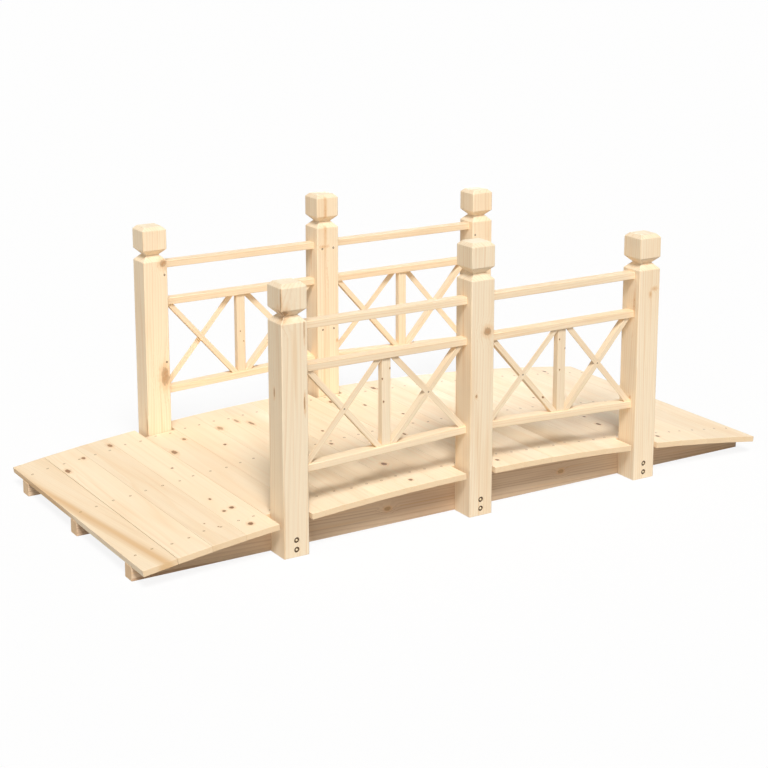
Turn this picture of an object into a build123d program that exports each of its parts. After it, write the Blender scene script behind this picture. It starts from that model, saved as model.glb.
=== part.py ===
from build123d import *

import os
from math import asin, cos, degrees, radians, sin, tan

# Wooden garden bridge with an arched plank deck between two railings.
# X runs along the bridge, Y across it and Z up; the origin is on the ground, in the middle. Sizes in mm.

# Beams: sawn flat below and to one arc above, standing on the ground from end to end
beam_length = 1498.0
beam_end_height = 28.0
beam_middle_height = 84.0
beam_thickness = 30.0

# Deck boards, laid across the beams
boards_each_side = 10
board_thickness = 12.0
board_gap = 1.5
boards_to_post = 6
short_board_clearance = 2.0

# Posts, each turned square and bolted to the outside of a side beam
bridge_width = 677.0
post_section = 55.5
end_post_height = 540.0
middle_post_height = 570.0
post_arris = 2.0

# The carved post head: a V groove all round leaves a neck below a bevelled cube
head_height = 50.0
head_bevel = 7.5
groove_height = 26.0
neck_section = 29.0

# Rails, each butted between two posts; the upper two are set down from the tops of the end posts
rail_height = 15.0
rail_depth = 24.0
rail_arris = 1.5
top_rail_drop = 80.0
middle_rail_drop = 164.0
lower_rail_clearance = 80.0

# Infill of a bay: one baluster, and on each side of it a batten leaning out, crossed by a thin lath
baluster_width = 20.0
baluster_depth = 15.0
batten_width = 11.0
batten_depth = 15.0
batten_foot_offset = 5.7
batten_head_offset = 13.2
lath_width = 12.5
lath_thickness = 2.0
lath_foot_offset = 6.0
lath_head_offset = 7.9
infill_arris = 1.0

# The arc that the boards sit on, and the turn from one board to the next
beam_rise = beam_middle_height - beam_end_height
seat_radius = ((beam_length / 2) ** 2 + beam_rise**2) / (2 * beam_rise)
seat_centre = beam_middle_height - seat_radius
board_count = 2 * boards_each_side + 1
board_angle = 2 * degrees(asin(beam_length / 2 / seat_radius)) / board_count
board_width = 2 * seat_radius * tan(radians(board_angle / 2)) - board_gap

# Where the posts and beams stand
post_row_y = bridge_width / 2 - post_section / 2
inner_face_y = bridge_width / 2 - post_section
side_beam_y = inner_face_y - beam_thickness / 2
post_row_x = seat_radius * sin(radians(boards_to_post * board_angle))

# Undersides of the two level rails
top_rail_underside = end_post_height - top_rail_drop - rail_height
middle_rail_underside = end_post_height - middle_rail_drop - rail_height

posts_along = {"left": -post_row_x, "middle": 0.0, "right": post_row_x}
sides = {"front": -1, "back": 1}
bays = {"left": ("left", "middle"), "right": ("middle", "right")}

os.makedirs("parts", exist_ok=True)


def save(name, builder):
    """Label a finished piece and write it under its own name."""
    builder.part.label = name
    export_step(builder.part, f"parts/{name}.step")


def deck_top(x):
    """Height of the deck's walking surface at a place along the bridge."""
    deck_radius = seat_radius + board_thickness
    return seat_centre + (deck_radius**2 - x**2) ** 0.5


def build_beam(name, y):
    """One lengthwise beam with a flat foot and an arched top."""
    with BuildPart() as beam:
        with BuildSketch(Plane.XZ.offset(-y)):
            with BuildLine():
                foot = Line((-beam_length / 2, 0), (beam_length / 2, 0))
                right_end = Line(foot @ 1, (beam_length / 2, beam_end_height))
                arch = ThreePointArc(right_end @ 1, (0, beam_middle_height), (-beam_length / 2, beam_end_height))
                Line(arch @ 1, foot @ 0)
            make_face()
        extrude(amount=beam_thickness / 2, both=True)
    save(name, beam)


def board_seat(step):
    """The plane that a board lies on, tangent to the arc, counted in boards from the middle."""
    turn = radians(step * board_angle)
    middle = (seat_radius * sin(turn), 0, seat_centre + seat_radius * cos(turn))
    return Plane(middle, x_dir=(cos(turn), 0, -sin(turn)), z_dir=(sin(turn), 0, cos(turn)))


def build_boards(name, steps, length):
    """A run of neighbouring deck boards, each a plank of its own."""
    with BuildPart() as boards:
        for step in steps:
            with BuildSketch(board_seat(step)):
                Rectangle(board_width, length)
            extrude(amount=board_thickness)
    save(name, boards)


def build_post(name, x, y, height):
    """A square post with its carved head, from the ground to the top of the cube."""
    groove_top = height - head_height
    groove_foot = groove_top - groove_height
    head_stages = [
        (groove_foot, post_section),
        (groove_top - groove_height / 2, neck_section),
        (groove_top, post_section),
        (height - head_bevel, post_section),
        (height, post_section - 2 * head_bevel),
    ]
    with BuildPart() as post:
        with BuildSketch(Plane((x, y, 0))):
            RectangleRounded(post_section, post_section, post_arris)
        extrude(amount=groove_foot)
        for stage in zip(head_stages, head_stages[1:]):
            for level, section in stage:
                with BuildSketch(Plane((x, y, level))):
                    RectangleRounded(section, section, post_arris)
            loft()
    save(name, post)


def build_rail(name, start, end):
    """A rail with plumb ends, from one post's face to the next, given the middles of both ends."""
    with BuildPart() as rail:
        for place in (start, end):
            with BuildSketch(Plane(place, x_dir=(0, 1, 0), z_dir=(1, 0, 0))):
                RectangleRounded(rail_depth, rail_height, rail_arris)
        loft()
    save(name, rail)


def build_baluster(name, foot, slope, head_level):
    """The upright in the middle of a bay, its foot cut to the slope of the lower rail."""
    with BuildPart() as baluster:
        with BuildSketch(Plane((foot.X, foot.Y, foot.Z - baluster_width))):
            RectangleRounded(baluster_width, baluster_depth, infill_arris)
        extrude(amount=head_level - foot.Z + baluster_width)
        split(bisect_by=Plane(foot, x_dir=(1, 0, slope), z_dir=(-slope, 0, 1)), keep=Keep.TOP)
    save(name, baluster)


def brace_outline(foot, head, width):
    """Corners of a straight brace in the plane of a railing, X along and Y up, overlong at both ends."""
    run = (head - foot).normalized()
    half = Vector(run.Y, -run.X) * width / 2
    spare = run * width * 2
    return [foot - spare - half, foot - spare + half, head + spare + half, head + spare - half]


def flat(corners):
    """The same corners as plain pairs, for a sketch."""
    return [tuple(corner)[:2] for corner in corners]


def build_battens(name, row_y, panels, battens, laths, outward):
    """The two battens of a bay, cut to their panels and let in on the outer face where a lath crosses."""
    with BuildPart() as pair:
        for panel, batten, lath in zip(panels, battens, laths):
            with BuildSketch(Plane.XZ.offset(-row_y)):
                Polygon(*flat(panel), align=None)
                Polygon(*flat(batten), align=None, mode=Mode.INTERSECT)
            extrude(amount=batten_depth / 2, both=True)
            outer_face = row_y + outward * batten_depth / 2
            with BuildSketch(Plane.XZ.offset(-outer_face)):
                Polygon(*flat(lath), align=None)
            extrude(amount=outward * lath_thickness, mode=Mode.SUBTRACT)
    save(name, pair)


def build_laths(name, row_y, panels, laths, outward):
    """The two thin laths of a bay, flush with the outer faces of the battens."""
    outer_face = row_y + outward * batten_depth / 2
    with BuildPart() as pair:
        for panel, lath in zip(panels, laths):
            with BuildSketch(Plane.XZ.offset(-outer_face)):
                Polygon(*flat(panel), align=None)
                Polygon(*flat(lath), align=None, mode=Mode.INTERSECT)
            extrude(amount=outward * lath_thickness)
    save(name, pair)


def build_bay(place, row_y, start, end, outward):
    """Rails, baluster, battens and laths between the facing sides of two posts."""
    level_rails = {"top": top_rail_underside, "middle": middle_rail_underside}
    for rail, underside in level_rails.items():
        middle = underside + rail_height / 2
        build_rail(f"{rail}_rail_{place}", (start, row_y, middle), (end, row_y, middle))

    foot_start = deck_top(start) + lower_rail_clearance + rail_height
    foot_end = deck_top(end) + lower_rail_clearance + rail_height
    slope = (foot_end - foot_start) / (end - start)
    lower_start = (start, row_y, foot_start - rail_height / 2)
    build_rail(f"lower_rail_{place}", lower_start, (end, row_y, foot_end - rail_height / 2))

    bay_middle = (start + end) / 2
    baluster_foot = Vector(bay_middle, row_y, (foot_start + foot_end) / 2)
    build_baluster(f"baluster_{place}", baluster_foot, slope, middle_rail_underside)

    # Each panel lies between a post and the baluster; inward is the way from the one to the other
    panels, battens, laths = [], [], []
    for post_face, inward in ((start, 1), (end, -1)):
        baluster_face = bay_middle - inward * baluster_width / 2
        batten_foot = baluster_face - inward * batten_foot_offset
        batten_head = post_face + inward * batten_head_offset
        lath_foot = post_face + inward * lath_foot_offset
        lath_head = baluster_face - inward * lath_head_offset
        feet = [Vector(x, foot_start + slope * (x - start)) for x in (post_face, baluster_face)]
        heads = [Vector(x, middle_rail_underside) for x in (baluster_face, post_face)]
        panels.append(feet + heads)
        for foot, head, width, braces in (
            (batten_foot, batten_head, batten_width, battens),
            (lath_foot, lath_head, lath_width, laths),
        ):
            foot_point = Vector(foot, foot_start + slope * (foot - start))
            braces.append(brace_outline(foot_point, Vector(head, middle_rail_underside), width))
    build_battens(f"battens_{place}", row_y, panels, battens, laths, outward)
    build_laths(f"laths_{place}", row_y, panels, laths, outward)


build_beam("beam_front", -side_beam_y)
build_beam("beam_middle", 0)
build_beam("beam_back", side_beam_y)

# A short board fits between each pair of posts; all the others run the full width
short_board_length = 2 * (inner_face_y - short_board_clearance)
for place, step in {"left": -boards_to_post, "middle": 0, "right": boards_to_post}.items():
    build_boards(f"deck_board_{place}_posts", [step], short_board_length)
build_boards("deck_boards_left_end", range(-boards_each_side, -boards_to_post), bridge_width)
build_boards("deck_boards_left_bay", range(1 - boards_to_post, 0), bridge_width)
build_boards("deck_boards_right_bay", range(1, boards_to_post), bridge_width)
build_boards("deck_boards_right_end", range(boards_to_post + 1, boards_each_side + 1), bridge_width)

for side, sign in sides.items():
    row_y = sign * post_row_y
    for place, x in posts_along.items():
        height = middle_post_height if place == "middle" else end_post_height
        build_post(f"post_{side}_{place}", x, row_y, height)
    for place, (first, second) in bays.items():
        start = posts_along[first] + post_section / 2
        end = posts_along[second] - post_section / 2
        build_bay(f"{side}_{place}", row_y, start, end, sign)
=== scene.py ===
"""Looks of a small garden bridge of pale, unfinished pine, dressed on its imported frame.

Every stick of timber is copied from its CAD node, gets its arrises eased and carries its own grain:
coordinates in metres measured from the heart of the log it was sawn from, a tone and its knots.
Sizes are in mm and become metres where a mesh is made.
"""

from __future__ import annotations

import logging
import math
import random
from dataclasses import dataclass
from enum import Enum

import bmesh
import bpy
from mathutils import Matrix, Vector

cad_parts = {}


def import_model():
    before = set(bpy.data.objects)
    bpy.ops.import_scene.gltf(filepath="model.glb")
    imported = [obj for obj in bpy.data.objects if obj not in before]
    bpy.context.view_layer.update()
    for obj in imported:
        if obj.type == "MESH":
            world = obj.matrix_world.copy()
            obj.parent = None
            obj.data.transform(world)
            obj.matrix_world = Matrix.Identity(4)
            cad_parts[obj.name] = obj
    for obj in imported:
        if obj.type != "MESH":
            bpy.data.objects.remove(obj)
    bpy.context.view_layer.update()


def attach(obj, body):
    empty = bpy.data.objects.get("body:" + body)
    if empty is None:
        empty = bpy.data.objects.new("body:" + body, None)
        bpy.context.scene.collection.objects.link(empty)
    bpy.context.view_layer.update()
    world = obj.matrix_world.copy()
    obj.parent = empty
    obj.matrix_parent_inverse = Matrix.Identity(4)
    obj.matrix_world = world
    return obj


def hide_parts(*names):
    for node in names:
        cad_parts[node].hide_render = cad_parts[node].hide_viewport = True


log = logging.getLogger("garden_bridge")

Place = tuple[float, float, float]
Rgb = tuple[int, int, int]
Spots = tuple[tuple[float, float], ...]
Socket = bpy.types.NodeSocket
Value = Socket | tuple[float, ...] | float

MM = 0.001
SIDES = {"front": -1, "back": 1}

# Every stick has this many knots. The ones it lacks lie here, far outside it, and no place counts as
# farther from a knot than this, in radii of the knot
KNOTS_PER_STICK = 5
NO_KNOT = (9.0, 9.0, 9.0)
FARTHEST = 99.0

# Half a section of a sunk screw head, in radii of the head
SCREW_HEAD: Spots = ((0.0, -0.28), (0.3, -0.26), (0.4, 0.03), (0.86, 0.05), (1.0, -0.06), (0.0, -0.8))
SCREW_SIDES = 10
BOLT_SIDES = 24
BORE_SIDES = 28

# Points nearer to each other than this become one, in metres
WELD = 0.000001


@dataclass(frozen=True)
class Ramp:
    """A smooth step: where it starts and ends, and its level before and after."""

    start: float
    end: float
    low: float = 0.0
    high: float = 1.0


# Noise in the wood: how often it changes in a metre along the stick and across it, or in a year
WANDER = (1.6, 14.0, 14.0)
FINE_FIBRE = (9.0, 900.0, 900.0)
STREAKS = (2.5, 120.0, 120.0)
BROAD_TONE = (3.0, 22.0, 22.0)
KNOT_EDGE = (120.0, 240.0, 240.0)
KNOT_MOTTLE = (260.0, 260.0, 260.0)
WEATHER = (0.8, 0.8, 0.8)

# Rings: how far they stray in metres, where late wood comes and ends in a year, how much of it a year has
RING_STRAY = 0.016
LATE_COMES = Ramp(0.35, 0.86)
LATE_ENDS = Ramp(0.9, 1.0, 1.0, 0.0)
LATE_BY_YEAR = Ramp(0.38, 0.7, 0.08, 1.0)

# Where noise gives warm places, dark streaks and clouds on steel
WARM_PLACES = Ramp(0.42, 0.72)
DARK_STREAKS = Ramp(0.55, 0.75)
CLOUDS = Ramp(0.35, 0.65)

# The brown about the heart by the distance from it, and how ragged its edge is, both in metres
HEART_WOOD = Ramp(0.012, 0.026, 0.75, 0.0)
HEART_EDGE = 0.008

# By the distance from a knot, in its radii: how far rings swerve in metres, its halo, bark and eye
KNOT_SWERVE = Ramp(1.0, 4.5, 0.006, 0.0)
KNOT_HALO = Ramp(0.9, 2.4, 0.5, 0.0)
KNOT_BARK = Ramp(0.85, 1.2, 1.0, 0.0)
KNOT_EYE = Ramp(0.45, 0.9, 0.95, 0.0)

# How much bark a deep knot has, how mottled an eye is, and how a knot's edge wavers: by slope and level
BARK_BY_DEPTH = Ramp(0.0, 1.0, 0.0, 0.9)
EYE_MOTTLE = Ramp(0.42, 0.54, 0.1, 1.0)
KNOT_WAVER = (0.9, 0.55)

# End wood: how squarely its face cuts the grain, and how much of its colour shows
END_SQUARENESS = 0.8
END_SHARE = 0.5

# How much lighter a step of tone makes a stick, how glossy pine is, how far fibres and rings stand out
TONE_STEP = 0.045
PINE_SHEEN = 0.25
FIBRE_RELIEF = 0.6
RING_RELIEF = 0.4


class Sawing(Enum):
    """How a stick lies in its log: distance of the heart from its middle, across and below, in mm."""

    SLAB = (22.0, -95.0)
    RIFT = (80.0, -80.0)


@dataclass(frozen=True)
class Knot:
    """A knot: the place of its middle on the bridge, its radius across the grain, how much longer it is."""

    place: Place
    radius: float = 5.0
    longer: float = 1.4


@dataclass(frozen=True)
class Log:
    """What is particular to one stick, in mm.

    Its heart lies as its sawing says, on one side or the other by chance, unless heart says where: across
    and above the stick's middle. Drift is how far the heart strays across for each length along.
    """

    sawing: Sawing = Sawing.SLAB
    heart: tuple[float, float] | None = None
    drift: float | None = None
    tone: float = 0.0
    knot_depth: float = 1.0
    knots: tuple[Knot, ...] = ()


class Recipe:
    """A node tree written from left to right."""

    def __init__(self, tree: bpy.types.NodeTree) -> None:
        """Empties a node tree and takes it up."""
        self.tree = tree
        self.tree.nodes.clear()

    def node(self, kind: str, settings: dict[str, str] | None = None, **inputs: Value) -> bpy.types.Node:
        """Adds a node.

        Args:
            kind: the node's type, without its ShaderNode prefix.
            settings: properties of the node.
            **inputs: values or sockets by the input's name, or by i and its number.

        Returns:
            The new node.
        """
        node = self.tree.nodes.new("ShaderNode" + kind)
        for name, value in (settings or {}).items():
            setattr(node, name, value)
        for name, value in inputs.items():
            by_number = name[0] == "i" and name[1:].isdigit()
            socket = node.inputs[int(name[1:]) if by_number else name.replace("_", " ")]
            if isinstance(value, Socket):
                self.tree.links.new(value, socket)
            else:
                socket.default_value = value
        return node

    def reckon(self, operation: str, first: Value, second: Value = 0.0) -> Socket:
        """Reckons with one or two numbers.

        Args:
            operation: the operation's name.
            first: value or socket.
            second: value or socket.

        Returns:
            The result.
        """
        return self.node("Math", {"operation": operation}, i0=first, i1=second).outputs[0]

    def line(self, value: Value, slope: Value, level: Value) -> Socket:
        """Multiplies a value by a slope and adds a level."""
        return self.node("Math", {"operation": "MULTIPLY_ADD"}, i0=value, i1=slope, i2=level).outputs[0]

    def vector(self, operation: str, first: Value, second: Value) -> Socket:
        """Reckons with two vectors.

        Args:
            operation: the operation's name.
            first: value or socket.
            second: value or socket.

        Returns:
            The resulting vector.
        """
        return self.node("VectorMath", {"operation": operation}, i0=first, i1=second).outputs["Vector"]

    def length(self, vector: Value) -> Socket:
        """Measures a vector."""
        return self.node("VectorMath", {"operation": "LENGTH"}, i0=vector).outputs["Value"]

    def seen(self) -> Socket:
        """Tells rays that show a background, straight or through a reflection, from rays that light.

        Returns:
            One for a ray that shows it, or else zero.
        """
        rays = self.node("LightPath").outputs
        straight = self.reckon("MAXIMUM", rays["Is Camera Ray"], rays["Is Glossy Ray"])
        return self.reckon("MAXIMUM", straight, rays["Is Transmission Ray"])

    def attribute(self, name: str, output: str = "Vector") -> Socket:
        """Reads an attribute of the piece's mesh."""
        return self.node("Attribute", {"attribute_name": name}).outputs[output]

    def noise(self, place: Value, stretch: Place, detail: float = 2.0, output: str = "Fac") -> Socket:
        """Adds noise from 0 to 1 at a place.

        Args:
            place: coordinates.
            stretch: how fine it is along each axis.
            detail: octaves.
            output: Fac for a number, Color for a vector.

        Returns:
            The noise.
        """
        stretched = self.vector("MULTIPLY", place, stretch)
        return self.node("TexNoise", Vector=stretched, Scale=1.0, Detail=detail).outputs[output]

    def step(self, value: Value, ramp: Ramp) -> Socket:
        """Adds a smooth step.

        Args:
            value: what is measured.
            ramp: the step.

        Returns:
            The level at that value.
        """
        levels = {"i1": ramp.start, "i2": ramp.end, "i3": ramp.low, "i4": ramp.high}
        return self.node("MapRange", {"interpolation_type": "SMOOTHSTEP"}, i0=value, **levels).outputs[0]

    def mix(self, share: Value, under: Value, over: Value) -> Socket:
        """Lays one colour over another.

        Args:
            share: how much of the upper colour shows.
            under: lower colour.
            over: upper colour.

        Returns:
            The mixed colour.
        """
        return self.node("Mix", {"data_type": "RGBA"}, i0=share, i6=under, i7=over).outputs[2]


def new_material(name: str) -> tuple[bpy.types.Material, Recipe]:
    """Makes a material and the recipe that fills it.

    Args:
        name: name of the material.

    Returns:
        The material and its recipe.
    """
    material = bpy.data.materials.new(name)
    material.use_nodes = True
    return material, Recipe(material.node_tree)


def linear(red: int, green: int, blue: int) -> tuple[float, float, float, float]:
    """Turns a colour as seen on a screen, 0 to 255, into the linear colour that a shader takes."""
    parts = [c / 255 for c in (red, green, blue)]
    return (*(p / 12.92 if p <= 0.04045 else ((p + 0.055) / 1.055) ** 2.4 for p in parts), 1.0)


@dataclass(frozen=True)
class PineFinish:
    """Planed or sawn pine: colours of its wood and width of its rings in mm.

    Contrast, warmth, streaks and fibre say how strongly late wood, warm places, dark streaks and fine
    fibres show, from 0 to 1. Smooth and rough are the ends of its roughness, bump_depth is in metres.
    """

    slot: str
    early: Rgb = (254, 233, 201)
    late: Rgb = (240, 200, 150)
    deep: Rgb = (232, 190, 138)
    end: Rgb = (232, 196, 148)
    heart: Rgb = (222, 176, 118)
    knot_halo: Rgb = (232, 184, 128)
    knot_bark: Rgb = (120, 78, 48)
    knot_eyes: tuple[Rgb, Rgb] = ((234, 190, 142), (150, 102, 66))
    ring: float = 4.4
    contrast: float = 0.3
    warmth: float = 0.22
    streaks: float = 0.2
    fibre: float = 0.07
    smooth: float = 0.54
    rough: float = 0.7
    bump: float = 0.25
    bump_depth: float = 0.0004

    def material(self) -> bpy.types.Material:
        """Builds the wood from rings about the heart, fibres, knots and slow changes of tone.

        Returns:
            The material.
        """
        material, shader = new_material(self.slot)
        grain = shader.attribute("grain")
        knots = self.knot_field(shader, grain)
        radius = self.log_radius(shader, grain, knots)
        late = self.late_wood(shader, radius)
        fine = shader.noise(grain, FINE_FIBRE, 3.0)

        colour = self.clear_wood(shader, grain, radius, late)
        colour = self.shaded(shader, colour, fine)
        colour = self.knotted(shader, colour, knots, grain)
        ends = shader.reckon("MULTIPLY", shader.attribute("end_wood", "Fac"), END_SHARE)
        colour = shader.mix(ends, colour, linear(*self.end))

        rough = shader.line(fine, self.rough - self.smooth, self.smooth)
        height = shader.line(fine, FIBRE_RELIEF, shader.reckon("MULTIPLY", late, RING_RELIEF))
        bump = shader.node("Bump", Strength=self.bump, Distance=self.bump_depth, Height=height).outputs[0]
        wood = shader.node(
            "BsdfPrincipled", Base_Color=colour, Roughness=rough, Normal=bump, Specular_IOR_Level=PINE_SHEEN
        )
        shader.node("OutputMaterial", Surface=wood.outputs[0])
        return material

    @staticmethod
    def log_radius(shader: Recipe, grain: Socket, knots: Socket) -> Socket:
        """Measures how far a place is from the heart of its log. The rings wander and swerve round knots.

        Args:
            shader: the recipe.
            grain: grain coordinates.
            knots: distance to the nearest knot.

        Returns:
            The distance in metres.
        """
        wander = shader.noise(grain, WANDER, output="Color")
        wander = shader.vector("SUBTRACT", wander, (0.5, 0.5, 0.5))
        wander = shader.vector("MULTIPLY", wander, (0.0, RING_STRAY, RING_STRAY))
        bent = shader.vector("ADD", grain, wander)
        straight = shader.length(shader.vector("MULTIPLY", bent, (0.0, 1.0, 1.0)))
        return shader.reckon("ADD", straight, shader.step(knots, KNOT_SWERVE))

    def late_wood(self, shader: Recipe, radius: Socket) -> Socket:
        """Finds the darker late wood of each year's ring, stronger in some years than in others.

        Args:
            shader: the recipe.
            radius: distance from the heart.

        Returns:
            The share of late wood.
        """
        years = shader.reckon("DIVIDE", radius, self.ring * MM)
        year = shader.reckon("FRACT", years)
        late = shader.reckon("MULTIPLY", shader.step(year, LATE_COMES), shader.step(year, LATE_ENDS))
        weather = shader.noise(shader.node("CombineXYZ", X=years).outputs[0], WEATHER)
        return shader.reckon("MULTIPLY", late, shader.step(weather, LATE_BY_YEAR))

    def clear_wood(self, shader: Recipe, grain: Socket, radius: Socket, late: Socket) -> Socket:
        """Colours wood without knots: rings, warm and dark streaks, and the brown round the heart.

        Args:
            shader: the recipe.
            grain: grain coordinates.
            radius: distance from the heart.
            late: share of late wood.

        Returns:
            The colour.
        """
        streak = shader.noise(grain, STREAKS)
        rings = shader.reckon("MULTIPLY", late, self.contrast)
        colour = shader.mix(rings, linear(*self.early), linear(*self.late))
        warm = shader.step(shader.noise(grain, BROAD_TONE), WARM_PLACES)
        colour = shader.mix(shader.reckon("MULTIPLY", warm, self.warmth), colour, linear(*self.late))
        dark = shader.reckon("MULTIPLY", shader.step(streak, DARK_STREAKS), self.streaks)
        colour = shader.mix(dark, colour, linear(*self.deep))
        heart = shader.step(shader.line(streak, HEART_EDGE, radius), HEART_WOOD)
        return shader.mix(heart, colour, linear(*self.heart))

    def shaded(self, shader: Recipe, colour: Socket, fine: Socket) -> Socket:
        """Darkens or lightens a colour by its fibres and by the stick's tone.

        Args:
            shader: the recipe.
            colour: colour of the wood.
            fine: noise of the fibres.

        Returns:
            The shaded colour.
        """
        fibres = shader.line(fine, self.fibre * 2, 1 - self.fibre)
        shade = shader.line(shader.attribute("tone", "Fac"), TONE_STEP, fibres)
        return shader.node("VectorMath", {"operation": "SCALE"}, i0=colour, Scale=shade).outputs["Vector"]

    @staticmethod
    def knot_field(shader: Recipe, grain: Socket) -> Socket:
        """Measures how far a place is from the nearest knot of its stick, in radii of that knot.

        Args:
            shader: the recipe.
            grain: grain coordinates.

        Returns:
            The distance, with a wavering edge.
        """
        nearest: Value = FARTHEST
        for number in range(1, KNOTS_PER_STICK + 1):
            away = shader.vector("SUBTRACT", grain, shader.attribute(f"knot_{number}"))
            size = shader.attribute(f"knot_size_{number}")
            nearest = shader.reckon("MINIMUM", nearest, shader.length(shader.vector("DIVIDE", away, size)))
        return shader.reckon("MULTIPLY", nearest, shader.line(shader.noise(grain, KNOT_EDGE), *KNOT_WAVER))

    def knotted(self, shader: Recipe, colour: Socket, knots: Socket, grain: Socket) -> Socket:
        """Lays the knots over the wood: a mottled brown eye, a dark rim of bark and a warm halo.

        Args:
            shader: the recipe.
            colour: colour of the wood.
            knots: distance to the nearest knot.
            grain: grain coordinates.

        Returns:
            The colour with its knots.
        """
        depth = shader.attribute("knot_depth", "Fac")
        colour = shader.mix(shader.step(knots, KNOT_HALO), colour, linear(*self.knot_halo))
        bark = shader.reckon("MULTIPLY", shader.step(knots, KNOT_BARK), shader.step(depth, BARK_BY_DEPTH))
        colour = shader.mix(bark, colour, linear(*self.knot_bark))
        pale, brown = (linear(*eye) for eye in self.knot_eyes)
        mottle = shader.step(shader.noise(grain, KNOT_MOTTLE, 1.0), EYE_MOTTLE)
        share = shader.reckon("MULTIPLY", shader.step(knots, KNOT_EYE), mottle)
        return shader.mix(share, colour, shader.mix(depth, pale, brown))


@dataclass(frozen=True)
class SteelFinish:
    """Plated or oiled steel of bolts, screws and nails, gone a little dull; the dark washer round each bolt
    head is painted shade in its bore.

    Cloud is how often its plating changes in a metre, and paler how much lighter it is in the clouds.
    Smooth and rough are the ends of its roughness, bump_depth is in metres.
    """

    name: str
    colour: Rgb
    metal: float = 0.6
    smooth: float = 0.33
    rough: float = 0.58
    cloud: Place = (900.0, 900.0, 900.0)
    paler: int = 22
    bump: float = 0.2
    bump_depth: float = 0.0001

    def material(self) -> bpy.types.Material:
        """Builds the steel with cloudy plating.

        Returns:
            The material.
        """
        material, shader = new_material(self.name)
        cloud = shader.noise(shader.node("TexCoord").outputs["Object"], self.cloud, 3.0)
        low, high = linear(*self.colour), linear(*(min(255, c + self.paler) for c in self.colour))
        colour = shader.mix(shader.step(cloud, CLOUDS), low, high)
        rough = shader.line(cloud, self.rough - self.smooth, self.smooth)
        bump = shader.node("Bump", Strength=self.bump, Distance=self.bump_depth, Height=cloud).outputs[0]
        steel = shader.node(
            "BsdfPrincipled", Base_Color=colour, Roughness=rough, Normal=bump, Metallic=self.metal
        )
        shader.node("OutputMaterial", Surface=steel.outputs[0])
        return material


def add_object(name: str, shape: bmesh.types.BMesh) -> bpy.types.Object:
    """Makes an object of a mesh, at the origin.

    Args:
        name: name of the object and its mesh.
        shape: its shape, freed here.

    Returns:
        The object.
    """
    mesh = bpy.data.meshes.new(name)
    shape.to_mesh(mesh)
    shape.free()
    made = bpy.data.objects.new(name, mesh)
    bpy.context.scene.collection.objects.link(made)
    return made


def add_piece(name: str, shape: bmesh.types.BMesh, material: bpy.types.Material) -> bpy.types.Object:
    """Makes a piece of a mesh and lets it ride on the bridge.

    Args:
        name: name of the piece.
        shape: its shape, freed here.
        material: its finish.

    Returns:
        The piece.
    """
    piece = add_object(name, shape)
    piece.data.materials.append(material)
    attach(piece, "root")
    log.info("piece %s", name)
    return piece


def islands(shape: bmesh.types.BMesh) -> list[list[bmesh.types.BMVert]]:
    """Sorts the vertices of a mesh into its separate solids.

    Args:
        shape: the mesh.

    Returns:
        The vertices of each solid, from left to right.
    """
    seen: set[bmesh.types.BMVert] = set()
    found = []
    for start in shape.verts:
        if start in seen:
            continue
        seen.add(start)
        group, rim = [start], [start]
        while rim:
            vert = rim.pop()
            for edge in vert.link_edges:
                other = edge.other_vert(vert)
                if other not in seen:
                    seen.add(other)
                    group.append(other)
                    rim.append(other)
        found.append(group)
    return sorted(found, key=lambda verts: (round(middle_of(verts).x, 5), len(verts)))


def middle_of(verts: list[bmesh.types.BMVert]) -> Vector:
    """Finds the mean place of some vertices."""
    return sum((vert.co for vert in verts), Vector()) / len(verts)


def upward(direction: Vector) -> Vector:
    """Turns a direction round where its largest part is negative."""
    return -direction if max(direction, key=abs) < 0 else direction


def facing(place: Place, sign: int) -> Matrix:
    """Stands a shape's Z axis on a face that looks across the bridge.

    Args:
        place: where it goes, in mm.
        sign: one where the face looks along +Y, minus one where it looks along -Y.

    Returns:
        The transform.
    """
    return Matrix.Translation(Vector(place) * MM) @ Matrix.Rotation(math.radians(-90 * sign), 4, "X")


def add_turned(shape: bmesh.types.BMesh, place: Matrix, profile: Spots, steps: int) -> None:
    """Adds a closed turned shape, its axis along Z before it is placed.

    Args:
        shape: mesh that takes it.
        place: where it goes, in metres.
        profile: radius and height of its points, in mm, from the axis round to the axis. One that starts
            away from the axis is closed to a ring.
        steps: sides of the round.
    """
    turned = bmesh.new()
    chain = [turned.verts.new(Vector((x, 0, z)) * MM) for x, z in profile]
    pairs = list(zip(chain, chain[1:]))
    if profile[0][0] > 0:
        pairs.append((chain[-1], chain[0]))
    edges = [turned.edges.new(pair) for pair in pairs]
    bmesh.ops.spin(
        turned,
        geom=chain + edges,
        cent=(0, 0, 0),
        axis=(0, 0, 1),
        angle=math.tau,
        steps=steps,
        use_merge=True,
    )
    bmesh.ops.remove_doubles(turned, verts=turned.verts, dist=WELD)
    bmesh.ops.recalc_face_normals(turned, faces=turned.faces)
    bmesh.ops.transform(turned, matrix=place, verts=turned.verts)
    mesh = bpy.data.meshes.new("turned_part")
    turned.to_mesh(mesh)
    turned.free()
    shape.from_mesh(mesh)
    bpy.data.meshes.remove(mesh)


def add_screw(shape: bmesh.types.BMesh, place: Matrix, radius: float) -> None:
    """Adds the sunk head of a screw or nail of a radius in mm, its axis along Z before it is placed."""
    add_turned(shape, place, tuple((x * radius, z * radius) for x, z in SCREW_HEAD), SCREW_SIDES)


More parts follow.
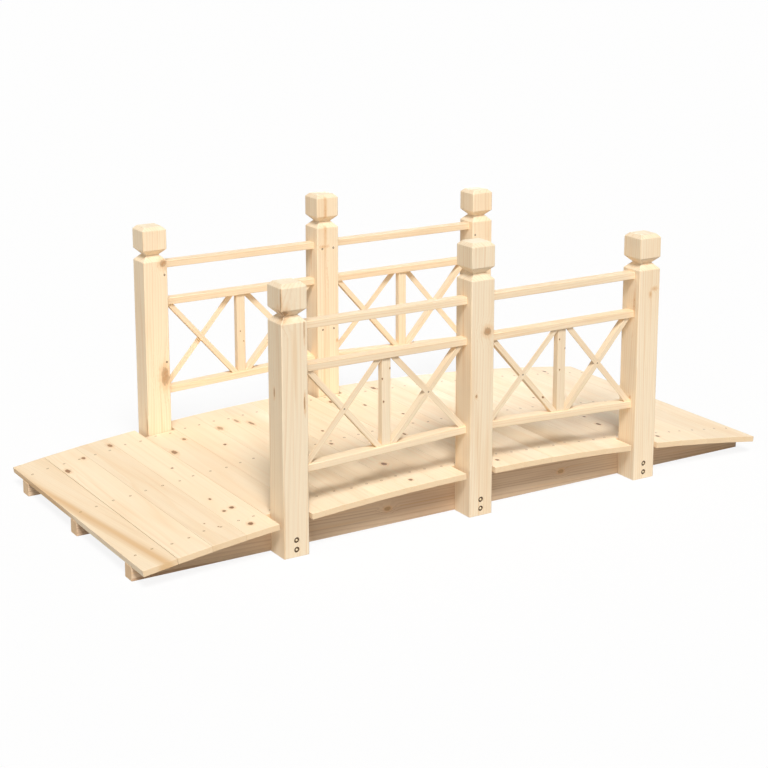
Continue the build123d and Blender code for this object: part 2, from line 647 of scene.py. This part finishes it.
@dataclass
class Timber:
    """A run of sticks that stands for one CAD node. Lengths are in mm and angles in degrees.

    Spread widens each stick along the bridge, apart from those beyond last_spread. Bores are the middles of
    the counterbores' mouths. Merge, flat_angle and sharp_angle say which points of the node are one, which
    faces are one and which edges are arrises. The last four fields bound what chance adds to each stick.
    """

    node: str
    finish: PineFinish
    material: bpy.types.Material
    logs: list[Log]
    arris: float = 0.8
    spread: float = 0.0
    last_spread: float = 700.0
    bores: tuple[Place, ...] = ()
    bore_radius: float = 6.0
    bore_depth: float = 3.2
    merge: float = 0.02
    flat_angle: float = 0.5
    sharp_angle: float = 32.0
    start_stray: float = 4000.0
    heart_stray: float = 12.0
    most_drift: float = 0.03
    tone_stray: float = 0.7

    def build(self) -> None:
        """Copies the node, eases its arrises and gives each stick its grain."""
        shape = self.clean_copy()
        if self.spread:
            self.tighten(shape)
        self.ease(shape)
        for mouth in self.bores:
            shape = self.bored(shape, mouth)
        knot_names = [f"{word}_{i + 1}" for word in ("knot", "knot_size") for i in range(KNOTS_PER_STICK)]
        vectors = {name: shape.verts.layers.float_vector.new(name) for name in ["grain"] + knot_names}
        numbers = {name: shape.verts.layers.float.new(name) for name in ("tone", "knot_depth")}
        ends = shape.faces.layers.float.new("end_wood")
        for number, verts in enumerate(islands(shape)):
            self.grow(verts, number, vectors, numbers, ends)
        piece = add_piece(f"pine_{self.node}", shape, self.material)
        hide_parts(self.node)

    def clean_copy(self) -> bmesh.types.BMesh:
        """Copies the node's mesh with its doubles merged and its flat faces whole.

        Returns:
            The copy.
        """
        shape = bmesh.new()
        shape.from_mesh(bpy.data.objects[self.node].data)
        bmesh.ops.remove_doubles(shape, verts=shape.verts, dist=self.merge * MM)
        bmesh.ops.dissolve_limit(
            shape,
            angle_limit=math.radians(self.flat_angle),
            verts=shape.verts,
            edges=shape.edges,
            use_dissolve_boundaries=False,
        )
        return shape

    def tighten(self, shape: bmesh.types.BMesh) -> None:
        """Widens the boards of a run along the deck, so that their joints close up.

        Args:
            shape: the run of boards.
        """
        for verts in islands(shape):
            middle = middle_of(verts).x
            if abs(middle) > self.last_spread * MM:
                continue
            for vert in verts:
                vert.co.x += math.copysign(self.spread * MM / 2, vert.co.x - middle)

    def ease(self, shape: bmesh.types.BMesh) -> None:
        """Takes the sharpness off every arris.

        Args:
            shape: the sticks.
        """
        least = math.radians(self.sharp_angle)
        sharp = [e for e in shape.edges if len(e.link_faces) == 2 and e.calc_face_angle() > least]
        bmesh.ops.bevel(
            shape,
            geom=sharp,
            offset=self.arris * MM,
            offset_type="OFFSET",
            segments=2,
            profile=0.5,
            affect="EDGES",
            clamp_overlap=True,
            material=-1,
        )
        bmesh.ops.recalc_face_normals(shape, faces=shape.faces)

    def bored(self, shape: bmesh.types.BMesh, mouth: Place) -> bmesh.types.BMesh:
        """Sinks a round counterbore across the bridge.

        Args:
            shape: the stick, freed here.
            mouth: middle of the bore's mouth, in mm.

        Returns:
            The bored stick.
        """
        drill = bmesh.new()
        bmesh.ops.create_cone(
            drill,
            cap_ends=True,
            segments=BORE_SIDES,
            radius1=self.bore_radius * MM,
            radius2=self.bore_radius * MM,
            depth=2 * self.bore_depth * MM,
            matrix=facing(mouth, -1),
        )
        tools = [add_object("bored_stick", shape), add_object("bore_drill", drill)]
        cut = tools[0].modifiers.new("cut", "BOOLEAN")
        cut.object = tools[1]
        cut.operation = "DIFFERENCE"
        cut.solver = "EXACT"
        evaluated = tools[0].evaluated_get(bpy.context.evaluated_depsgraph_get())
        result = bmesh.new()
        meshes = [bpy.data.meshes.new_from_object(evaluated)] + [tool.data for tool in tools]
        result.from_mesh(meshes[0])
        for tool in tools:
            bpy.data.objects.remove(tool)
        for mesh in meshes:
            bpy.data.meshes.remove(mesh)
        return result

    def grow(
        self,
        verts: list[bmesh.types.BMVert],
        number: int,
        vectors: dict[str, bmesh.types.BMLayerItem],
        numbers: dict[str, bmesh.types.BMLayerItem],
        ends: bmesh.types.BMLayerItem,
    ) -> None:
        """Writes one stick's grain coordinates, tone and knots.

        Args:
            verts: the stick's vertices.
            number: its place in the run.
            vectors: vector layers by name.
            numbers: number layers by name.
            ends: layer that marks end wood.
        """
        stick = self.logs[number % len(self.logs)]
        chance = random.Random(f"{self.node} {number}")
        # In a fixed order and ranked by rounded sizes, so that every run picks the same edge and face: of a
        # post's equal sides, one that looks along the bridge
        edges = list(dict.fromkeys(edge for vert in verts for edge in vert.link_edges))
        faces = list(dict.fromkeys(face for vert in verts for face in vert.link_faces))
        longest = max(edges, key=lambda edge: round(edge.calc_length(), 4))
        along = upward((longest.verts[1].co - longest.verts[0].co).normalized())
        broadest = max(faces, key=lambda face: (round(face.calc_area(), 7), round(abs(face.normal.x), 2)))
        above = upward((broadest.normal - along * along.dot(broadest.normal)).normalized())
        across = above.cross(along)
        middle = middle_of(verts)

        start = chance.uniform(-self.start_stray, self.start_stray) * MM
        side = chance.choice((-1, 1))
        strays = [chance.uniform(-self.heart_stray, self.heart_stray) for _ in range(2)]
        beside, below = stick.sawing.value
        heart = stick.heart or (beside * side + strays[0], below + strays[1])
        drift = chance.uniform(-self.most_drift, self.most_drift) if stick.drift is None else stick.drift
        shade = stick.tone + chance.uniform(-self.tone_stray, self.tone_stray)

        def place_in_log(point: Vector) -> Vector:
            """Measures a point from the heart of the log.

            Args:
                point: a place on the bridge, in metres.

            Returns:
                Its distance along, across and above the heart.
            """
            reach = point - middle
            run = reach.dot(along)
            aside = reach.dot(across) - heart[0] * MM - drift * run
            return Vector((run + start, aside, reach.dot(above) - heart[1] * MM))

        knots = [
            (place_in_log(Vector(knot.place) * MM), Vector((knot.longer, 1, 1)) * knot.radius * MM)
            for knot in stick.knots
        ]
        knots += [(Vector(NO_KNOT), Vector((MM, MM, MM)))] * (KNOTS_PER_STICK - len(knots))
        for vert in verts:
            vert[vectors["grain"]] = place_in_log(vert.co)
            for index, (place, size) in enumerate(knots, start=1):
                vert[vectors[f"knot_{index}"]] = place
                vert[vectors[f"knot_size_{index}"]] = size
            vert[numbers["tone"]] = shade
            vert[numbers["knot_depth"]] = stick.knot_depth
        for face in faces:
            face[ends] = 1.0 if abs(face.normal.dot(along)) > END_SQUARENESS else 0.0


@dataclass
class Beams:
    """The three sawn beams that carry the deck."""

    finish: PineFinish = PineFinish(
        "beam_pine",
        early=(236, 207, 174),
        late=(192, 148, 112),
        ring=4.0,
        contrast=0.8,
        warmth=0.4,
        streaks=0.6,
    )
    front_knots: tuple[Knot, ...] = (
        Knot((246, -283, 33), 4.2, 1.6),
        Knot((-190, -283, 34), 4.2, 1.6),
        Knot((-330, -283, 62), 3.0, 3.0),
    )

    def build(self) -> None:
        """Builds the beams."""
        material = self.finish.material()
        for place in ("front", "middle", "back"):
            knots = self.front_knots if place == "front" else ()
            stick = Log(Sawing.RIFT, knots=knots, knot_depth=0.45)
            Timber(f"beam_{place}", self.finish, material, [stick], arris=0.6).build()


@dataclass
class Deck:
    """The twenty-one boards of the arched deck and the screws that hold them to the beams.

    Reach is half the beams' length, rise the height of their arc and crown their height in the middle.
    """

    finish: PineFinish = PineFinish("deck_pine")
    steel: SteelFinish = SteelFinish("screw_steel", (176, 142, 98))
    reach: float = 749.0
    rise: float = 56.0
    crown: float = 84.0
    thickness: float = 12.0
    boards: int = 21
    joint_closing: float = 1.3
    beam_rows: tuple[float, ...] = (-268.0, 0.0, 268.0)
    screw_offset: float = 17.5
    screw_radius: float = 3.1
    screw_stray: tuple[float, float] = (2.0, 5.0)

    def logs(self) -> dict[int, Log]:
        """Gives what is particular to single boards, counted from the middle of the bridge.

        Returns:
            The boards that have knots or a heart of their own.
        """
        knot = self.knot
        return {
            -10: Log(heart=(19.0, -5.0), drift=0.09, tone=0.4),
            -9: Log(knot_depth=0.8, knots=(knot(-671, 222, 4.5, 2.2), knot(-618, 265, 3.6, 1.8))),
            -8: Log(
                knot_depth=0.75,
                knots=(knot(-546, 291, 4.2, 2.2), knot(-574, -234, 1.5), knot(-560, -266, 1.5)),
            ),
            -7: Log(
                knots=(
                    knot(-499, -202, 4.5, 1.3),
                    knot(-518, -207, 3.0),
                    knot(-507, -297, 4.8, 1.3),
                    knot(-513, -134, 2.4, 1.6),
                    knot(-499, 72, 2.4, 1.2),
                )
            ),
            -6: Log(knot_depth=0.75, knots=(knot(-457, 152, 4.8, 2.2), knot(-406, 210, 3.6, 1.8))),
            -5: Log(tone=0.3, knots=(knot(-352, 120, 3.0),)),
            -4: Log(knot_depth=0.5, knots=(knot(-314, 220, 5.5, 1.8), knot(-263, 240, 3.2, 3.4))),
            -3: Log(knot_depth=0.7, knots=(knot(-244, 205, 3.4, 3.4),)),
            -2: Log(
                knots=(
                    knot(-143, -193, 5.4, 1.4),
                    knot(-148, -303, 3.8, 1.3),
                    knot(-169, -21, 3.2),
                    knot(-142, 64, 2.6),
                )
            ),
            -1: Log(knots=(knot(-64, 10, 2.4),)),
            0: Log(knots=(knot(-23, 235, 3.6, 1.8), knot(32, 173, 3.0, 1.8), knot(-5, -53, 3.0, 1.8))),
            1: Log(knots=(knot(68, -299, 3.6, 1.3), knot(72, 73, 3.0))),
            2: Log(knots=(knot(121, 283, 4.5, 1.8), knot(168, 29, 2.8))),
            6: Log(knots=(knot(434, -173, 4.2, 1.6), knot(443, -111, 3.0), knot(431, 67, 2.4))),
            7: Log(knots=(knot(504, -294, 3.8, 1.3),)),
            9: Log(knots=(knot(630, 290, 4.0, 1.5),)),
        }

    def arc(self) -> float:
        """Gives the radius of the arc that the boards sit on, in mm."""
        return (self.reach**2 + self.rise**2) / (2 * self.rise)

    def knot(self, along: float, across: float, radius: float, longer: float = 1.4) -> Knot:
        """Sets a knot in the walking surface.

        Args:
            along: its place along the bridge, in mm.
            across: its place across the bridge, in mm.
            radius: its radius across the grain, in mm.
            longer: how much longer it is along the grain.

        Returns:
            The knot.
        """
        level = self.crown - self.arc() + math.sqrt((self.arc() + self.thickness) ** 2 - along**2)
        return Knot((along, across, level), radius, longer)

    def build(self) -> None:
        """Builds every run of boards, then the screws."""
        material = self.finish.material()
        special = self.logs()
        runs = {
            "deck_boards_left_end": range(-10, -6),
            "deck_board_left_posts": range(-6, -5),
            "deck_boards_left_bay": range(-5, 0),
            "deck_board_middle_posts": range(0, 1),
            "deck_boards_right_bay": range(1, 6),
            "deck_board_right_posts": range(6, 7),
            "deck_boards_right_end": range(7, 11),
        }
        for node, steps in runs.items():
            logs = [special.get(step, Log()) for step in steps]
            Timber(node, self.finish, material, logs, arris=0.5, spread=self.joint_closing).build()
        self.drive_screws()

    def drive_screws(self) -> None:
        """Drives two screws through each board into each beam."""
        radius = self.arc()
        turn = 2 * math.asin(self.reach / radius) / self.boards
        centre = Matrix.Translation((0, 0, (self.crown - radius) * MM))
        driven = bmesh.new()
        half = self.boards // 2
        for step in range(-half, half + 1):
            tilt = Matrix.Rotation(step * turn, 4, "Y")
            for row in self.beam_rows:
                for offset in (-self.screw_offset, self.screw_offset):
                    chance = random.Random(f"screw {step} {row} {offset}")
                    along, across = (chance.uniform(-stray, stray) for stray in self.screw_stray)
                    spot = Vector((offset + along, row + across, radius + self.thickness))
                    add_screw(driven, centre @ tilt @ Matrix.Translation(spot * MM), self.screw_radius)
        add_piece("deck_screws", driven, self.steel.material())


@dataclass
class Posts:
    """The six square posts with their carved heads, their bolts and their screws, in mm.

    Profiles are given from the mouth of a bore inwards. Screws are given by their height and by how far
    they stand from the post's middle, on an end post towards the middle of the bridge.
    """

    finish: PineFinish = PineFinish(
        "post_pine",
        early=(251, 231, 200),
        late=(232, 190, 140),
        # Painted highlight: the end wood shows on the posts' lit tops and is made paler than the face wood,
        # so that the tops come out light
        end=(255, 243, 216),
        ring=5.5,
        contrast=0.5,
        streaks=0.4,
    )
    bolt_steel: SteelFinish = SteelFinish("bolt_steel", (226, 208, 172), metal=0.2)
    # Painted shade: the washer round each bolt head is dark and not metallic, standing in for the shade in
    # the gap of its bore
    shade_washer_steel: SteelFinish = SteelFinish("shade_washer_steel", (84, 62, 36), metal=0.0)
    screw_steel: SteelFinish = SteelFinish("post_screw_steel", (96, 66, 42), metal=0.2)
    spacing: float = 429.0
    outer_face: float = 338.5
    inner_face: float = 283.0
    bolt_heights: tuple[float, ...] = (34.3, 14.8)
    # Profile of the dark washer that paints the shade at the bottom of each bore
    shade_washer_profile: Spots = ((2.0, -3.2), (2.0, -1.9), (2.2, -1.3), (5.4, -1.3), (5.9, -1.7), (5.9, -3.2))
    bolt_profile: Spots = (
        (0.0, -1.0),
        (0.7, -1.0),
        (0.9, -0.5),
        (1.7, -0.45),
        (2.2, -0.8),
        (2.3, -2.0),
        (2.3, -3.2),
        (0.0, -3.2),
    )
    screw_radius: float = 2.6
    middle_screws: Spots = ((-14.5, 446.0), (-14.5, 255.5), (14.5, 446.0), (14.5, 255.5))
    end_screws: Spots = ((20.5, 433.0), (20.5, 237.0))

    def logs(self) -> dict[str, Log]:
        """Gives each post its knots and streaks.

        Returns:
            The posts' logs by the end of their node's name.
        """
        return {
            "front_left": Log(
                Sawing.RIFT,
                tone=0.3,
                knot_depth=0.5,
                knots=(
                    Knot((-449, -331, 483), 9.0, 1.3),
                    Knot((-456.5, -336.5, 508), 1.8, 12.0),
                    Knot((-456.7, -307, 325), 2.0, 4.0),
                    Knot((-409, -338.5, 305), 1.4, 9.0),
                    Knot((-408.5, -338.5, 450), 1.0, 16.0),
                ),
            ),
            "front_middle": Log(
                Sawing.RIFT,
                tone=-0.2,
                knot_depth=0.5,
                knots=(Knot((11.5, -338.5, 388), 8.0, 1.05), Knot((-14, -338.5, 256), 2.4)),
            ),
            "front_right": Log(
                Sawing.RIFT,
                tone=0.7,
                knot_depth=0.1,
                knots=(
                    Knot((443, -338.5, 422), 6.5, 0.45),
                    Knot((432, -338.5, 411), 3.0, 1.8),
                    Knot((401, -323, 390), 2.5, 8.0),
                    Knot((401, -318, 183), 2.2, 1.2),
                ),
            ),
            "back_left": Log(
                Sawing.RIFT,
                tone=0.6,
                knot_depth=0.45,
                knots=(
                    Knot((-413, 283, 205), 9.0, 2.1),
                    Knot((-411, 283, 459), 7.5, 1.1),
                    Knot((-456.7, 290, 96), 2.0, 9.0),
                ),
            ),
            "back_middle": Log(
                Sawing.RIFT,
                knot_depth=0.1,
                knots=(
                    Knot((-6, 283, 520), 2.6, 20.0),
                    Knot((-10, 283, 451), 7.5, 0.35),
                    Knot((22.8, 283, 226), 2.0),
                    Knot((-27.8, 312, 426), 1.6, 12.0),
                ),
            ),
            "back_right": Log(Sawing.RIFT, tone=1.1),
        }

    def build(self) -> None:
        """Builds the posts and drives their bolts and screws."""
        material = self.finish.material()
        fastenings = {
            # The dark washer round each bolt is painted shade in its bore
            "shade_washers": (self.shade_washer_profile, self.shade_washer_steel.material()),
            "bolts": (self.bolt_profile, self.bolt_steel.material()),
        }
        logs = self.logs()
        places = {"left": -self.spacing, "middle": 0.0, "right": self.spacing}
        for side, sign in SIDES.items():
            for place, x in places.items():
                post = f"{side}_{place}"
                bores = tuple((x, sign * self.outer_face, z) for z in self.bolt_heights)
                Timber(f"post_{post}", self.finish, material, [logs[post]], arris=0.6, bores=bores).build()
                for kind, (profile, steel) in fastenings.items():
                    shape = bmesh.new()
                    for mouth in bores:
                        add_turned(shape, facing(mouth, sign), profile, BOLT_SIDES)
                    add_piece(f"{kind}_{post}", shape, steel)
        self.drive_screws(places)

    def drive_screws(self, places: dict[str, float]) -> None:
        """Drives the screws that show on the posts' inner faces.

        Args:
            places: middles of the posts along the bridge, in mm.
        """
        shape = bmesh.new()
        for sign in SIDES.values():
            for place, x in places.items():
                inward = -1 if x > 0 else 1
                for offset, height in self.middle_screws if place == "middle" else self.end_screws:
                    spot = (x + offset * inward, sign * self.inner_face, height)
                    add_screw(shape, facing(spot, -sign), self.screw_radius)
        add_piece("post_screws", shape, self.screw_steel.material())


@dataclass
class Railings:
    """Rails, balusters, battens and laths of the four bays, and the nails where a lath crosses a batten."""

    rails: PineFinish = PineFinish(
        "rail_pine", early=(251, 228, 194), late=(234, 186, 132), ring=3.8, contrast=0.5, streaks=0.3
    )
    infill: PineFinish = PineFinish(
        "infill_pine", early=(251, 230, 198), late=(232, 190, 140), ring=3.6, contrast=0.4
    )
    nail_steel: SteelFinish = SteelFinish("nail_steel", (96, 66, 42), metal=0.2)
    outer_face: float = 318.25
    crossings: Spots = ((309.9, 272.6), (116.0, 276.7))
    nail_radius: float = 1.9

    def knots(self) -> dict[str, tuple[Knot, ...]]:
        """Gives the knots of the balusters and battens.

        Returns:
            The knots by their node.
        """
        return {
            "baluster_front_left": (
                Knot((-224, -318, 320), 1.5, 1.2),
                Knot((-221, -318, 273), 1.6, 1.2),
                Knot((-206, -318, 339), 1.5, 1.2),
            ),
            "baluster_front_right": (
                Knot((208, -318, 339), 1.4, 1.2),
                Knot((224, -318, 318), 1.6, 1.2),
                Knot((210, -318, 273), 1.5, 1.2),
            ),
            "battens_front_right": (Knot((168, -318, 220), 1.8, 1.3),),
            "baluster_back_left": (Knot((-217, 303, 276), 1.2, 1.2), Knot((-209, 303, 252), 1.2, 1.2)),
        }

    def build(self) -> None:
        """Builds the pieces of each bay."""
        rail_material = self.rails.material()
        infill_material = self.infill.material()
        knots = self.knots()
        for side in SIDES:
            for bay in ("left", "right"):
                for level in ("top", "middle", "lower"):
                    node = f"{level}_rail_{side}_{bay}"
                    Timber(node, self.rails, rail_material, [Log(Sawing.RIFT)], arris=0.4).build()
                for kind in ("baluster", "battens", "laths"):
                    node = f"{kind}_{side}_{bay}"
                    logs = [Log(Sawing.RIFT, knots=knots.get(node, ()))]
                    Timber(node, self.infill, infill_material, logs, arris=0.3).build()
        self.nail()

    def nail(self) -> None:
        """Nails each lath to the batten that it crosses."""
        shape = bmesh.new()
        for sign in SIDES.values():
            for x, z in self.crossings:
                for end in (-1, 1):
                    spot = (x * end, sign * self.outer_face, z)
                    add_screw(shape, facing(spot, sign), self.nail_radius)
        add_piece("infill_nails", shape, self.nail_steel.material())


@dataclass(frozen=True)
class Lamp:
    """A broad, far lamp.

    Towards is the way from the bridge to it, strength its light on a surface that faces it, in watts a
    square metre, and width how wide it looks from the bridge, in degrees.
    """

    name: str
    towards: Place
    strength: float
    width: float

    def hang(self) -> None:
        """Adds the lamp to the scene."""
        lamp = bpy.data.lights.new(self.name, "SUN")
        lamp.energy = self.strength
        lamp.angle = math.radians(self.width)
        holder = bpy.data.objects.new(self.name, lamp)
        bpy.context.scene.collection.objects.link(holder)
        holder.rotation_mode = "QUATERNION"
        holder.rotation_quaternion = Vector(self.towards).to_track_quat("Z", "Y")


@dataclass
class Studio:
    """Pale floor, level light and the camera of the photograph.

    The camera's focal length is in pixels of the photograph, its target and distance in mm, and its rise is
    the lens shift. The floor is measured in metres; its drop keeps it clear of the beams' undersides.
    """

    photo_pixels: int = 768
    focal_pixels: float = 1765.252
    sensor_width: float = 36.0
    azimuth: float = -31.656
    elevation: float = 12.803
    distance: float = 3785.587
    target: Place = (-23.783, 0.0, 452.06)
    rise: float = -0.148
    floor_size: float = 30.0
    floor_drop: float = 0.0004
    floor_glow: float = 0.88
    floor_seen: tuple[float, ...] = (0.97, 0.97, 0.97, 1.0)
    floor_lighting: tuple[float, ...] = (0.5, 0.5, 0.5, 1.0)
    white: tuple[float, ...] = (1.0, 1.0, 1.0, 1.0)
    ambient: tuple[float, ...] = (1.0, 0.95, 0.88, 1.0)
    ambient_strength: float = 0.165
    lamps: tuple[Lamp, ...] = (
        Lamp("key_light", (-0.31, -0.71, 1.0), 2.78, 19.0),
        Lamp("fill_light", (-0.62, -0.68, 0.40), 0.58, 50.0),
        Lamp("back_light", (0.55, 0.83, 0.03), 1.0, 14.0),
    )

    def build(self) -> None:
        """Sets up floor, light and camera."""
        self.lay_floor()
        self.light_sky()
        for lamp in self.lamps:
            lamp.hang()
        self.place_camera()
        bpy.context.scene.view_settings.view_transform = "Standard"

    def lay_floor(self) -> None:
        """Lays the floor, white to the eye with the bridge's shadow on it."""
        shape = bmesh.new()
        bmesh.ops.create_grid(shape, x_segments=1, y_segments=1, size=self.floor_size)
        bmesh.ops.translate(shape, verts=shape.verts, vec=(0, 0, -self.floor_drop))
        floor = add_object("studio_floor", shape)
        material, paint = new_material("studio_floor")
        glow = paint.node("Emission", Color=self.white, Strength=1.0)
        seen = paint.seen()
        matt = paint.node("BsdfDiffuse", Color=paint.mix(seen, self.floor_lighting, self.floor_seen))
        share = paint.reckon("MULTIPLY", seen, self.floor_glow)
        both = paint.node("MixShader", i0=share, i1=matt.outputs[0], i2=glow.outputs[0])
        paint.node("OutputMaterial", Surface=both.outputs[0])
        floor.data.materials.append(material)

    def light_sky(self) -> None:
        """Lights the bridge softly from all round, before a white background."""
        world = bpy.data.worlds.new("studio_light")
        bpy.context.scene.world = world
        world.use_nodes = True
        sky = Recipe(world.node_tree)
        around = sky.node("Background", Color=self.ambient, Strength=self.ambient_strength)
        behind = sky.node("Background", Color=self.white, Strength=1.0)
        both = sky.node("MixShader", i0=sky.seen(), i1=around.outputs[0], i2=behind.outputs[0])
        sky.node("OutputWorld", Surface=both.outputs[0])

    def place_camera(self) -> None:
        """Puts the camera where the photograph was taken from."""
        azimuth, elevation = math.radians(self.azimuth), math.radians(self.elevation)
        level = math.cos(elevation)
        back = Vector((math.sin(azimuth) * level, -math.cos(azimuth) * level, math.sin(elevation)))
        lens = bpy.data.cameras.new("photo_camera")
        lens.sensor_width = self.sensor_width
        lens.lens = self.focal_pixels / self.photo_pixels * self.sensor_width
        lens.shift_y = self.rise
        camera = bpy.data.objects.new("photo_camera", lens)
        camera.location = (Vector(self.target) + back * self.distance) * MM
        camera.rotation_mode = "QUATERNION"
        camera.rotation_quaternion = (-back).to_track_quat("-Z", "Y")
        bpy.context.scene.collection.objects.link(camera)
        bpy.context.scene.camera = camera


def main() -> None:
    """Builds the bridge from the ground up, then the studio."""
    logging.basicConfig(level=logging.INFO, format="%(name)s: %(message)s")
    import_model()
    for part in (Beams(), Deck(), Posts(), Railings(), Studio()):
        part.build()
        log.info("%s done", type(part).__name__)


if __name__ == "__main__":
    main()
